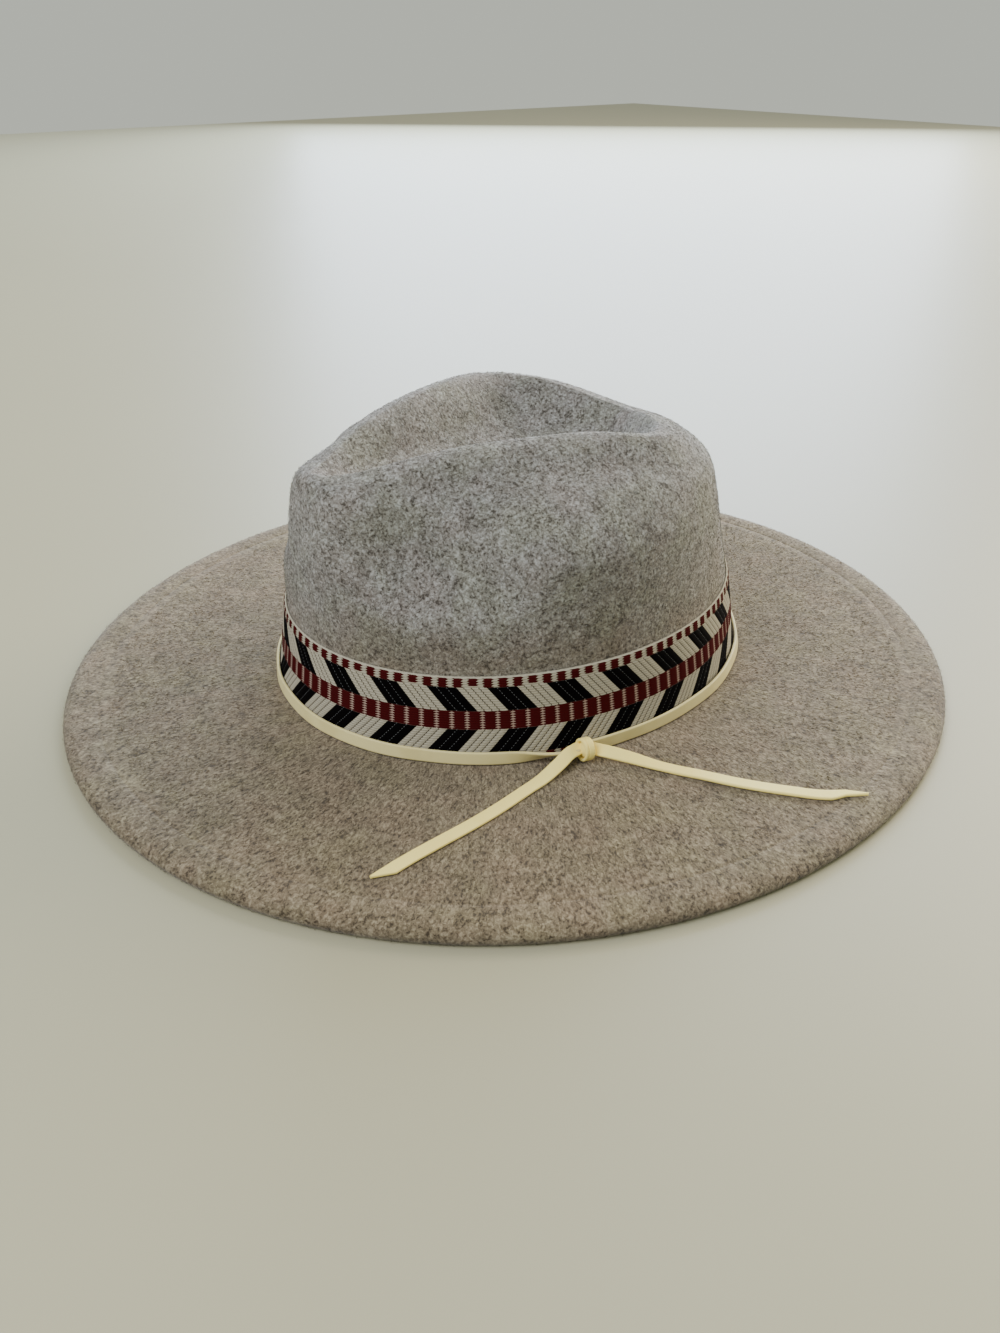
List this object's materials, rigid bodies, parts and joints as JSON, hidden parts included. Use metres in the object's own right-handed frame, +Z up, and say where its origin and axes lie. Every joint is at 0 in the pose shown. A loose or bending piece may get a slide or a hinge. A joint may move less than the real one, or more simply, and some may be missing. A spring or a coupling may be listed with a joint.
{
  "type": "rancher hat",
  "caption": "Wide-brimmed wool felt hat with a pinched teardrop crown, a woven chevron band and a knotted lace.",
  "frame": {"origin": "on the surface that the hat rests on, under the middle of the brim", "axes": "-Y to the wearer's front, +X to the wearer's left, +Z up through the crown"},
  "size_m": [0.356, 0.377, 0.1099],
  "materials": {
    "felt": "heathered grey-beige wool felt",
    "band": "woven cotton band, black, cream and dark red",
    "lace": "smooth cream flat lace"
  },
  "bodies": {
    "root": {"felt_body": "felt", "woven_band": "band", "lace_loop": "lace", "lace_knot": "lace", "lace_end_front": "lace", "lace_end_back": "lace"}
  },
  "joints": []
}
